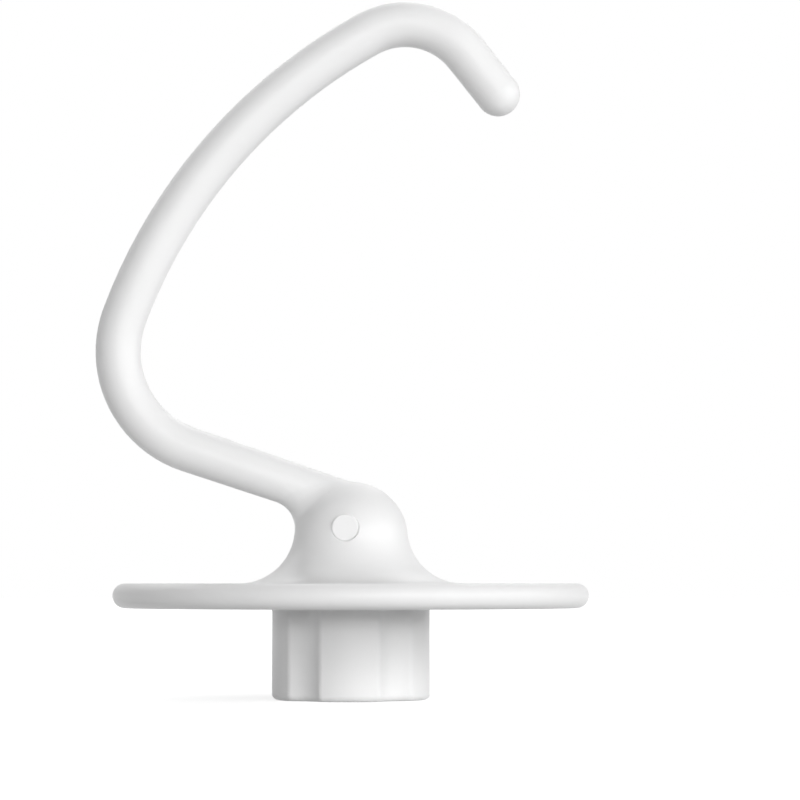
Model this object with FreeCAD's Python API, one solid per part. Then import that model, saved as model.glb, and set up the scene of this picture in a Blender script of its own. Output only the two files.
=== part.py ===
import FreeCAD, Part
import math
import os

from FreeCAD import Vector

# Dough hook for a stand mixer: one casting that stands on the open end of its drive collar.
# Millimetres. +Z runs up the socket's axis, the origin is the centre of the collar's end face,
# and the bent arm lies in the XZ plane and reaches out towards -X. The front is towards -Y.

# Drive collar: a fluted skirt round the socket
collar_height = 18.1
collar_radius = 15.66
collar_end_rounding = 1.2
collar_root_rounding = 0.6
flute_count = 5
flute_depth = 1.6
flute_radius = 6.3
flute_edge_rounding = 1.5

# Socket for the mixer's shaft, with the channel and the turn pocket of the shaft's cross pin
shaft_diameter = 12.7
shaft_clearance = 0.1
socket_depth = 31.0
socket_mouth_chamfer = 0.7
cross_pin_diameter = 4.8
cross_pin_reach = 8.6
cross_pin_clearance = 0.2
pin_seat_height = 14.5
pin_turn_deg = 36.0

# Splash disc, with a fully rounded rim
disc_radius = 47.2
disc_thickness = 4.87

# Hub: a ball-topped neck that flares out into the disc
dome_radius = 11.3
dome_centre_above_disc = 8.9
neck_flare_radius = 11.0

# Round flat pad on the front of the neck, with a soft edge and a fine groove round it
pad_diameter = 5.4
pad_edge_rounding = 0.35
pad_groove_width = 0.15
pad_offset_x = -1.0
pad_above_disc = 10.9
pad_face_from_axis = 10.95
pad_length = 2.0

# Arm: straight run, heel bend, long back bend, crown bend and straight tip
arm_root_above_disc = 15.7
arm_rise_deg = 18.65
arm_run_length = 34.27
heel_bend_radius = 20.7
heel_bend_deg = 91.55
back_bend_radius = 107.5
back_bend_deg = 40.6
crown_bend_radius = 15.6
crown_bend_deg = 81.25
tip_run_length = 10.3
arm_root_radius = 4.22
arm_back_radius = 4.5
arm_tip_radius = 4.44
arm_root_blend = 5.5

# How near two faces or edges must lie to count as touching
touch = 0.01

disc_top = collar_height + disc_thickness
dome_centre_height = disc_top + dome_centre_above_disc
socket_radius = shaft_diameter / 2 + shaft_clearance
channel_half_width = cross_pin_diameter / 2 + cross_pin_clearance
channel_reach = cross_pin_reach + cross_pin_clearance

UP = Vector(0, 0, 1)
FRONT = Vector(0, -1, 0)
BEND_AXIS = Vector(0, 1, 0)
ORIGIN = Vector(0, 0, 0)


def polar(radius, angle_deg):
    """Point of the collar's end plane at a radius and an angle round the socket's axis."""
    angle = math.radians(angle_deg)
    return Vector(radius * math.cos(angle), radius * math.sin(angle), 0)


def mid_arc(centre, start, end):
    """Point of an arc round a centre, half way between its two ends."""
    radius = (start - centre).Length
    return centre + ((start - centre) + (end - centre)).normalize() * radius


def edges_at_height(shape, height, reach):
    """Edges that lie flat at a height, none of them farther from the socket's axis than the reach."""
    found = []
    for edge in shape.Edges:
        box = edge.BoundBox
        flat = abs(box.ZMin - height) < touch and abs(box.ZMax - height) < touch
        if flat and max(box.XMax, box.YMax, -box.XMin, -box.YMin) < reach + touch:
            found.append(edge)
    return found


def fluted_outline():
    """Closed outline of the collar: round lobes, concave flutes and rounded lobe edges."""
    flute_centre = collar_radius - flute_depth + flute_radius
    edge_centre = collar_radius - flute_edge_rounding
    span = flute_radius + flute_edge_rounding
    cosine = (flute_centre ** 2 + edge_centre ** 2 - span ** 2) / (2 * flute_centre * edge_centre)
    edge_deg = math.degrees(math.acos(cosine))
    pitch_deg = 360.0 / flute_count
    edges = []
    for index in range(flute_count):
        # The first lobe faces the front, so the flutes stand half a pitch to each side of it
        flute_deg = -90.0 + pitch_deg * (index + 0.5)
        cutter = polar(flute_centre, flute_deg)
        corners = []
        for side in (-1, 1):
            rounding = polar(edge_centre, flute_deg + side * edge_deg)
            outside = polar(collar_radius, flute_deg + side * edge_deg)
            inside = cutter + (rounding - cutter) * (flute_radius / span)
            corners.append((outside, mid_arc(rounding, outside, inside), inside))
        (out_a, mid_a, in_a), (out_b, mid_b, in_b) = corners
        flute_floor = polar(flute_centre - flute_radius, flute_deg)
        lobe_top = polar(collar_radius, flute_deg + pitch_deg / 2)
        next_out = polar(collar_radius, flute_deg + pitch_deg - edge_deg)
        edges.append(Part.Arc(out_a, mid_a, in_a).toShape())
        edges.append(Part.Arc(in_a, flute_floor, in_b).toShape())
        edges.append(Part.Arc(in_b, mid_b, out_b).toShape())
        edges.append(Part.Arc(out_b, lobe_top, next_out).toShape())
    return Part.Wire(edges)


def make_collar():
    """Fluted skirt between its end face and the disc, rounded at the open end."""
    collar = Part.Face(fluted_outline()).extrude(UP * collar_height)
    return collar.makeFillet(collar_end_rounding, edges_at_height(collar, 0, collar_radius))


def make_disc_and_hub():
    """Splash disc and hub as one turned form: rounded rim, flat top, neck flare, ball top."""
    rim_radius = disc_thickness / 2
    rim_start = disc_radius - rim_radius
    reach = dome_radius + neck_flare_radius
    flare_height = disc_top + neck_flare_radius
    flare_x = math.sqrt(reach ** 2 - (flare_height - dome_centre_height) ** 2)
    dome_centre = Vector(0, 0, dome_centre_height)
    flare_centre = Vector(flare_x, 0, flare_height)
    waist = dome_centre + (flare_centre - dome_centre) * (dome_radius / reach)
    dome_apex = dome_centre + UP * dome_radius
    flare_foot = Vector(flare_x, 0, disc_top)
    axis_foot = Vector(0, 0, collar_height)
    under_rim = Vector(rim_start, 0, collar_height)
    rim_edge = Vector(disc_radius, 0, collar_height + rim_radius)
    over_rim = Vector(rim_start, 0, disc_top)
    outline = Part.Wire([
        Part.LineSegment(axis_foot, under_rim).toShape(),
        Part.Arc(under_rim, rim_edge, over_rim).toShape(),
        Part.LineSegment(over_rim, flare_foot).toShape(),
        Part.Arc(flare_foot, mid_arc(flare_centre, flare_foot, waist), waist).toShape(),
        Part.Arc(waist, mid_arc(dome_centre, waist, dome_apex), dome_apex).toShape(),
        Part.LineSegment(dome_apex, axis_foot).toShape(),
    ])
    return Part.Face(outline).revolve(ORIGIN, UP, 360)


def heading(angle_deg):
    """Unit vector in the plane of the arm, at an angle above +X."""
    angle = math.radians(angle_deg)
    return Vector(math.cos(angle), 0, math.sin(angle))


def straight_leg(start, heading_deg, length, start_radius, end_radius):
    """Slightly tapered round bar along a straight run, with the point where its centreline ends."""
    ahead = heading(heading_deg)
    return Part.makeCone(start_radius, end_radius, length, start, ahead), start + ahead * length


def bent_leg(start, heading_deg, bend_radius, turn_deg):
    """Round bar through a bend to the inside of the hook, with the point where its centreline ends."""
    to_centre = heading(heading_deg - 90.0)
    centre = start + to_centre * bend_radius
    section = Part.Wire([Part.Circle(start, heading(heading_deg), arm_back_radius).toShape()])
    leg = Part.Face(section).revolve(centre, BEND_AXIS, turn_deg)
    return leg, centre - heading(heading_deg - 90.0 - turn_deg) * bend_radius


def make_arm():
    """Round bar from inside the hub to its ball tip, a little slimmer at its root than along its back."""
    heading_deg = 180.0 - arm_rise_deg
    root = Vector(0, 0, disc_top + arm_root_above_disc)
    arm, point = straight_leg(root, heading_deg, arm_run_length, arm_root_radius, arm_back_radius)
    for bend_radius, turn_deg in (
        (heel_bend_radius, heel_bend_deg),
        (back_bend_radius, back_bend_deg),
        (crown_bend_radius, crown_bend_deg),
    ):
        leg, point = bent_leg(point, heading_deg, bend_radius, turn_deg)
        heading_deg -= turn_deg
        arm = arm.fuse(leg)
    leg, point = straight_leg(point, heading_deg, tip_run_length, arm_back_radius, arm_tip_radius)
    return arm.fuse([leg, Part.makeSphere(arm_tip_radius, point)])


def arm_root_edges(shape):
    """Edges where the straight run of the arm leaves the ball top of the hub."""
    found = []
    for edge in shape.Edges:
        surfaces = [face.Surface for face in shape.ancestorsOfType(edge, Part.Face)]
        on_run = any(isinstance(surface, Part.Cone) for surface in surfaces)
        balls = [surface for surface in surfaces if isinstance(surface, Part.Sphere)]
        if on_run and any(abs(ball.Radius - dome_radius) < touch for ball in balls):
            found.append(edge)
    return found


def add_pad(body):
    """Flat round pad that faces the front: proud where the neck falls away, let in where it stands out."""
    pad_radius = pad_diameter / 2
    pad_root = Vector(pad_offset_x, pad_length - pad_face_from_axis, disc_top + pad_above_disc)
    pad = Part.makeCylinder(pad_radius, pad_length, pad_root, FRONT)
    face_edges = [edge for edge in pad.Edges if edge.BoundBox.YMax < touch - pad_face_from_axis]
    pad = pad.makeFillet(pad_edge_rounding, face_edges)
    seat_depth = pad_face_from_axis - pad_edge_rounding
    seat_centre = Vector(pad_root.x, -seat_depth, pad_root.z)
    seat = Part.makeCylinder(pad_radius + pad_groove_width, dome_radius, seat_centre, FRONT)
    return body.cut(seat).fuse(pad)


def make_hub_with_arm():
    """Disc, hub with its pad, and arm in one, with the arm's root blended into the hub."""
    joined = add_pad(make_disc_and_hub()).fuse(make_arm())
    return joined.makeFillet(arm_root_blend, arm_root_edges(joined))


def make_socket():
    """Space of the socket: shaft bore with its mouth chamfer, cross pin channel and turn pocket."""
    bore = Part.makeCylinder(socket_radius, socket_depth, ORIGIN, UP)
    mouth_radius = socket_radius + socket_mouth_chamfer
    mouth = Part.makeCone(mouth_radius, socket_radius, socket_mouth_chamfer, ORIGIN, UP)
    pocket_low = pin_seat_height - channel_half_width
    channel = Part.makeBox(2 * channel_half_width, channel_reach, pin_seat_height)
    channel.translate(Vector(-channel_half_width, -channel_reach, 0))
    seat_wall = Part.makePolygon([
        Vector(0, 0, pocket_low),
        Vector(0, -channel_reach, pocket_low),
        Vector(0, -channel_reach, pocket_low + 2 * channel_half_width),
        Vector(0, 0, pocket_low + 2 * channel_half_width),
        Vector(0, 0, pocket_low),
    ])
    sweep = Part.Face(seat_wall).revolve(ORIGIN, UP, pin_turn_deg)
    height = Vector(0, 0, pin_seat_height)
    entry_end = Part.makeCylinder(channel_half_width, 2 * channel_reach, height, FRONT)
    seat_end = entry_end.copy()
    seat_end.rotate(ORIGIN, UP, pin_turn_deg)
    pin_way = channel.fuse([sweep, entry_end, seat_end])
    pin_reach = Part.makeCylinder(channel_reach, socket_depth, ORIGIN, UP)
    return bore.fuse([mouth, pin_way.common(pin_reach)])


def is_whole(solid):
    """Whether a solid is valid and reaches from the collar's end to above the hub, and to the disc's rim."""
    box = solid.BoundBox
    hub_height = dome_centre_height + dome_radius
    spans = box.ZMin < touch and box.ZMax > hub_height and box.XMax > disc_radius - touch
    return solid.isValid() and spans


def make_dough_hook():
    """The whole casting, which has to come out as one valid solid."""
    body = make_hub_with_arm().fuse(make_collar())
    body = body.makeFillet(collar_root_rounding, edges_at_height(body, collar_height, collar_radius))
    solids = body.cut(make_socket()).removeSplitter().Solids
    if len(solids) != 1 or not is_whole(solids[0]):
        raise ValueError("the casting is not one whole valid solid")
    return solids[0]


hook = make_dough_hook()
os.makedirs("parts", exist_ok=True)
hook.exportStep("parts/dough_hook.step")
print("dough_hook: one valid solid,", round(hook.Volume / 1000, 2), "cm3")
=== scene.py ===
"""Looks of a stand mixer's dough hook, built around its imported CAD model.

The hook is one aluminium casting under a thick glossy white coat. It stands on its drive collar on a
plain pale floor. A low wall of soft light stands round it from the front to the right, a flat strip just
above the floor lights the collar under the disc, a dim broad lamp hangs behind, and the room is dimmer still.

Everything is in metres, in the frame of the CAD model: +Z up, the camera looks along +Y.
"""

import logging
import math
from dataclasses import dataclass
from enum import Enum
from typing import Any, Optional

import bpy
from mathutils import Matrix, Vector


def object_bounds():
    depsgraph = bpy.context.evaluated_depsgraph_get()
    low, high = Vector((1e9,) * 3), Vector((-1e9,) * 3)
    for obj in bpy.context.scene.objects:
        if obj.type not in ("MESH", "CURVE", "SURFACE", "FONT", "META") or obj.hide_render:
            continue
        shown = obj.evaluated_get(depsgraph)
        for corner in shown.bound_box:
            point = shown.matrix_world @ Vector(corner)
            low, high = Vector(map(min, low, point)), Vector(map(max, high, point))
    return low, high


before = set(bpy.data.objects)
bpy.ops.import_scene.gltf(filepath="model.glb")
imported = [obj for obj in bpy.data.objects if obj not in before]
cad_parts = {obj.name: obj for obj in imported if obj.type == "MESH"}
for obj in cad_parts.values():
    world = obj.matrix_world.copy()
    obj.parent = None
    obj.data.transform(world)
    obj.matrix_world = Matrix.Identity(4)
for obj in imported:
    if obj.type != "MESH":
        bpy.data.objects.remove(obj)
CAD_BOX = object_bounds()
LOG = logging.getLogger("dough_hook")
MM = 0.001


def linear(hex_colour: str) -> tuple[float, float, float, float]:
    """Turns an sRGB hex colour into the linear colour that a shader socket takes.

    Args:
        hex_colour: Colour as "#RRGGBB".

    Returns:
        Linear red, green, blue and an alpha of 1.
    """
    channels = [int(hex_colour[start:start + 2], 16) / 255 for start in (1, 3, 5)]
    red, green, blue = (c / 12.92 if c <= 0.04045 else ((c + 0.055) / 1.055) ** 2.4 for c in channels)
    return red, green, blue, 1.0


def add_node(
    tree: bpy.types.NodeTree, kind: str, inputs: Optional[dict[Any, Any]] = None, **settings: Any
) -> bpy.types.Node:
    """Adds one node with its settings, input values and links.

    Args:
        tree: Node tree that gets the node.
        kind: Blender's identifier of the node's type.
        inputs: What each input gets, by its name or number: a value, or another node's output.
        settings: Properties of the node itself, by name.

    Returns:
        The new node.
    """
    node = tree.nodes.new(kind)
    for name, value in settings.items():
        setattr(node, name, value)
    for key, value in (inputs or {}).items():
        if isinstance(value, bpy.types.NodeSocket):
            tree.links.new(value, node.inputs[key])
        else:
            node.inputs[key].default_value = value
    return node


def empty_material(name: str) -> tuple[bpy.types.Material, bpy.types.NodeTree]:
    """Makes a node material with no nodes in it yet.

    Args:
        name: Name of the material.

    Returns:
        The material and its node tree.
    """
    material = bpy.data.materials.new(name)
    material.use_nodes = True
    material.node_tree.nodes.clear()
    return material, material.node_tree


def seen_directly(tree: bpy.types.NodeTree, path: bpy.types.Node) -> bpy.types.NodeSocket:
    """Tells camera, glossy and transmission rays from those that carry light.

    Args:
        tree: Node tree of a floor or a world.
        path: Its Light Path node.

    Returns:
        Output that is 1 for a ray that shows the background, and 0 for one that lights the hook.
    """
    either = add_node(
        tree, "ShaderNodeMath",
        {0: path.outputs["Is Camera Ray"], 1: path.outputs["Is Glossy Ray"]},
        operation="MAXIMUM",
    )
    every = add_node(
        tree, "ShaderNodeMath",
        {0: either.outputs[0], 1: path.outputs["Is Transmission Ray"]},
        operation="MAXIMUM",
    )
    return every.outputs[0]


@dataclass(frozen=True)
class FusedNylonCoat:
    """White nylon coat, fused from powder on the sanded casting.

    The melt levels itself into a thick skin with a soft gloss, so the eye gets rounded edges, broad
    highlights that break up a little on the faint waves of the melt, and a white that is very slightly
    uneven.
    """

    name: str = "fused_nylon_coat_white"
    white: str = "#F2F2F2"
    thin_white: str = "#EEEEEE"
    ior: float = 1.5
    roughness_low: float = 0.31
    roughness_high: float = 0.36
    cloud_mm: float = 22.0
    gloss_patch_mm: float = 6.0
    noise_low: float = 0.3
    noise_high: float = 0.7
    noise_roughness: float = 0.5
    peel_mm: float = 1.7
    peel_depth_mm: float = 0.002
    wave_mm: float = 9.0
    wave_depth_mm: float = 0.006

    def noise(
        self, tree: bpy.types.NodeTree, place: bpy.types.NodeSocket, size_mm: float, detail: float
    ) -> bpy.types.Node:
        """Adds a noise pattern whose patches are about a real size across.

        Args:
            tree: Node tree of the coat.
            place: Position on the hook, in metres.
            size_mm: Width of one patch.
            detail: Number of finer octaves.

        Returns:
            The noise node.
        """
        inputs = {
            "Vector": place, "Scale": 1.0 / (size_mm * MM),
            "Detail": detail, "Roughness": self.noise_roughness,
        }
        return add_node(tree, "ShaderNodeTexNoise", inputs, noise_dimensions="3D")

    def material(self) -> bpy.types.Material:
        """Builds the coat's material."""
        made, tree = empty_material(self.name)
        place = add_node(tree, "ShaderNodeTexCoord").outputs["Object"]
        cloud = self.noise(tree, place, self.cloud_mm, 2.0)
        tint = add_node(
            tree, "ShaderNodeMix",
            {"Factor": cloud.outputs["Fac"], "A": linear(self.thin_white), "B": linear(self.white)},
            data_type="RGBA",
        )
        patches = self.noise(tree, place, self.gloss_patch_mm, 3.0)
        gloss = add_node(
            tree, "ShaderNodeMapRange",
            {
                "Value": patches.outputs["Fac"], "From Min": self.noise_low, "From Max": self.noise_high,
                "To Min": self.roughness_low, "To Max": self.roughness_high,
            },
        )
        wave = self.noise(tree, place, self.wave_mm, 1.0)
        wave_bump = add_node(
            tree, "ShaderNodeBump",
            {"Height": wave.outputs["Fac"], "Distance": self.wave_depth_mm * MM, "Strength": 1.0},
        )
        peel = self.noise(tree, place, self.peel_mm, 1.0)
        peel_bump = add_node(
            tree, "ShaderNodeBump",
            {
                "Height": peel.outputs["Fac"], "Distance": self.peel_depth_mm * MM, "Strength": 1.0,
                "Normal": wave_bump.outputs["Normal"],
            },
        )
        surface = add_node(
            tree, "ShaderNodeBsdfPrincipled",
            {
                "Base Color": tint.outputs["Result"], "Roughness": gloss.outputs["Result"],
                "IOR": self.ior, "Normal": peel_bump.outputs["Normal"],
            },
        )
        add_node(tree, "ShaderNodeOutputMaterial", {"Surface": surface.outputs["BSDF"]})
        return made


@dataclass(frozen=True)
class PaintedBoard:
    """Matt painted board of the studio floor, which the camera sees as plain white.

    Its paint is a pale grey, so that it throws only little light up at the hook. The white that is added for
    the camera and for reflections lights nothing. Near the hook it is small enough to leave the hook's
    shadow, and it grows with the distance, so that the board runs into the white room without an edge.
    """

    name: str = "matt_painted_board_pale_grey"
    paint: str = "#D2D2D2"
    roughness: float = 0.9
    added_near: float = 0.7
    added_far: float = 1.0
    near: float = 0.15
    far: float = 0.9

    def material(self) -> bpy.types.Material:
        """Builds the board's material."""
        made, tree = empty_material(self.name)
        seen = seen_directly(tree, add_node(tree, "ShaderNodeLightPath"))
        place = add_node(tree, "ShaderNodeTexCoord").outputs["Object"]
        distance = add_node(tree, "ShaderNodeVectorMath", {0: place}, operation="LENGTH")
        added = add_node(
            tree, "ShaderNodeMapRange",
            {
                "Value": distance.outputs["Value"], "From Min": self.near, "From Max": self.far,
                "To Min": self.added_near, "To Max": self.added_far,
            },
            interpolation_type="SMOOTHSTEP",
        )
        lift = add_node(
            tree, "ShaderNodeMath", {0: seen, 1: added.outputs["Result"]}, operation="MULTIPLY",
        )
        board = add_node(
            tree, "ShaderNodeBsdfPrincipled",
            {
                "Base Color": linear(self.paint), "Roughness": self.roughness,
                "Emission Color": linear("#FFFFFF"), "Emission Strength": lift.outputs[0],
            },
        )
        add_node(tree, "ShaderNodeOutputMaterial", {"Surface": board.outputs["BSDF"]})
        return made


@dataclass
class DoughHook:
    """The hook itself: the CAD casting, dressed in its coat."""

    node_name: str = "dough_hook"
    slot: str = "white_coating"
    coat: FusedNylonCoat = FusedNylonCoat()

    def build(self) -> bpy.types.Object:
        """Takes the casting from the frame and gives it its coat."""
        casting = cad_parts[self.node_name]
        coat = self.coat.material()
        for place in casting.material_slots:
            place.material = coat
        return casting


class LampRole(Enum):
    """What a softbox does for the picture."""

    FRONT_WALL = "front_wall"
    RIGHT_WALL = "right_wall"
    LOW_STRIP = "low_strip_under_disc"
    BACK_FILL = "back_fill"


@dataclass(frozen=True)
class Softbox:
    """Soft rectangular lamp, aimed at the hook.

    Azimuth 0 is at the camera and 90 is to the right of the hook. The brightness is that of the lamp's own
    face, where 1 is white. Only the mirrored share of it shows as a reflection in the coat: a low wall that
    showed in full would turn the disc's top plain white for anyone who looks from behind the hook.
    """

    role: LampRole
    azimuth_deg: float
    elevation_deg: float
    width_deg: float
    height_deg: float
    brightness: float
    mirrored_share: float = 1.0
    distance: float = 1.5
    gap: float = 0.02

    def build(self, aim: Vector) -> list[bpy.types.Object]:
        """Hangs the lamp as two: one that the coat mirrors, and one just behind it that only lights the hook.

        The gap between them matters: of two lamps in the same plane, a ray finds only one.

        Args:
            aim: Point that the lamp faces.

        Returns:
            The lamp objects, one or two.
        """
        share = self.mirrored_share
        faces = ((share, self.distance, True), (1.0 - share, self.distance + self.gap, False))
        return [
            self.hang(aim, distance, self.brightness * part, mirrored)
            for part, distance, mirrored in faces if part > 0.0
        ]

    def hang(self, aim: Vector, distance: float, brightness: float, mirrored: bool) -> bpy.types.Object:
        """Hangs one lamp and turns it to the hook.

        Args:
            aim: Point that the lamp faces.
            distance: Distance of the lamp from that point.
            brightness: Brightness of its face.
            mirrored: Whether it shows in reflections.

        Returns:
            The lamp object.
        """
        azimuth = math.radians(self.azimuth_deg)
        elevation = math.radians(self.elevation_deg)
        towards = Vector((
            math.sin(azimuth) * math.cos(elevation),
            -math.cos(azimuth) * math.cos(elevation),
            math.sin(elevation),
        ))
        lamp = bpy.data.lights.new(f"softbox_{self.role.value}", "AREA")
        lamp.shape = "RECTANGLE"
        lamp.size = 2 * distance * math.tan(math.radians(self.width_deg) / 2)
        lamp.size_y = 2 * distance * math.tan(math.radians(self.height_deg) / 2)
        lamp.energy = brightness * math.pi * lamp.size * lamp.size_y
        hung = bpy.data.objects.new(lamp.name, lamp)
        hung.location = aim + towards * distance
        hung.rotation_euler = towards.to_track_quat("Z", "Y").to_euler()
        hung.visible_camera = False
        hung.visible_glossy = mirrored
        bpy.context.scene.collection.objects.link(hung)
        return hung


@dataclass
class Studio:
    """Pale floor, softboxes and room light."""

    floor_half_width: float = 4.0
    floor: PaintedBoard = PaintedBoard()
    room_level: float = 0.14
    softboxes: tuple[Softbox, ...] = (
        Softbox(
            LampRole.FRONT_WALL, azimuth_deg=22.0, elevation_deg=13.0,
            width_deg=50.0, height_deg=24.0, brightness=3.55, mirrored_share=0.3,
        ),
        Softbox(
            LampRole.RIGHT_WALL, azimuth_deg=70.0, elevation_deg=13.0,
            width_deg=54.0, height_deg=24.0, brightness=2.8, mirrored_share=0.3,
        ),
        Softbox(
            LampRole.LOW_STRIP, azimuth_deg=0.0, elevation_deg=3.5,
            width_deg=50.0, height_deg=7.0, brightness=6.3, mirrored_share=0.0,
        ),
        Softbox(
            LampRole.BACK_FILL, azimuth_deg=200.0, elevation_deg=48.0,
            width_deg=70.0, height_deg=50.0, brightness=0.9,
        ),
    )

    def build_floor(self) -> bpy.types.Object:
        """Lays the floor under the collar's end."""
        half = self.floor_half_width
        mesh = bpy.data.meshes.new("studio_floor")
        corners = [(-half, -half, 0), (half, -half, 0), (half, half, 0), (-half, half, 0)]
        mesh.from_pydata(corners, [], [(0, 1, 2, 3)])
        mesh.materials.append(self.floor.material())
        laid = bpy.data.objects.new("studio_floor", mesh)
        bpy.context.scene.collection.objects.link(laid)
        return laid

    def build_world(self) -> None:
        """Sets the room: dim even light on the hook, and white where the camera or a reflection sees it."""
        world = bpy.data.worlds.new("studio_room")
        world.use_nodes = True
        tree = world.node_tree
        tree.nodes.clear()
        seen = seen_directly(tree, add_node(tree, "ShaderNodeLightPath"))
        strength = add_node(
            tree, "ShaderNodeMapRange", {"Value": seen, "To Min": self.room_level, "To Max": 1.0},
        )
        light = add_node(
            tree, "ShaderNodeBackground",
            {"Color": linear("#FFFFFF"), "Strength": strength.outputs["Result"]},
        )
        add_node(tree, "ShaderNodeOutputWorld", {"Surface": light.outputs["Background"]})
        bpy.context.scene.world = world

    def build_softboxes(self) -> None:
        """Hangs every softbox, aimed at the middle of the hook."""
        middle = (CAD_BOX[0] + CAD_BOX[1]) / 2
        for softbox in self.softboxes:
            softbox.build(middle)

    def build(self) -> None:
        """Sets up the whole studio."""
        self.build_floor()
        self.build_world()
        self.build_softboxes()
        bpy.context.scene.view_settings.view_transform = "Standard"


@dataclass
class PictureCamera:
    """Near camera with a long lens, level with the top of the splash disc and tilted up at the hook.

    The disc's top is seen edge on, so it shows as a straight line, and the lens looks up by just so much
    that this line falls on its row of the picture.
    """

    image_px: float = 800.0
    px_per_mm: float = 5.031
    axis_px: float = 351.0
    disc_top_px: float = 583.4
    disc_top_mm: float = 22.97
    distance_mm: float = 600.0
    sensor_mm: float = 36.0

    def build(self) -> bpy.types.Object:
        """Sets up the camera and makes it the scene's own."""
        half = self.image_px / 2
        reach_px = self.px_per_mm * self.distance_mm
        tilt = math.asin((self.disc_top_px - half) / reach_px)
        lens = bpy.data.cameras.new("picture_camera")
        lens.sensor_width = self.sensor_mm
        lens.lens = self.sensor_mm * reach_px * math.cos(tilt) / self.image_px
        camera = bpy.data.objects.new("picture_camera", lens)
        right_mm = (half - self.axis_px) / self.px_per_mm
        camera.location = Vector((right_mm, -self.distance_mm, self.disc_top_mm)) * MM
        camera.rotation_euler = (math.radians(90.0) + tilt, 0.0, 0.0)
        bpy.context.scene.collection.objects.link(camera)
        bpy.context.scene.camera = camera
        return camera


def main() -> None:
    """Builds the picture: hook, studio and camera."""
    logging.basicConfig(level=logging.INFO, format="%(name)s: %(message)s")
    hook = DoughHook().build()
    LOG.info("%s: %d faces, coat %s", hook.name, len(hook.data.polygons), hook.material_slots[0].name)
    Studio().build()
    LOG.info("studio: floor, room light and softboxes")
    PictureCamera().build()
    LOG.info("camera: in place")


if __name__ == "__main__":
    main()
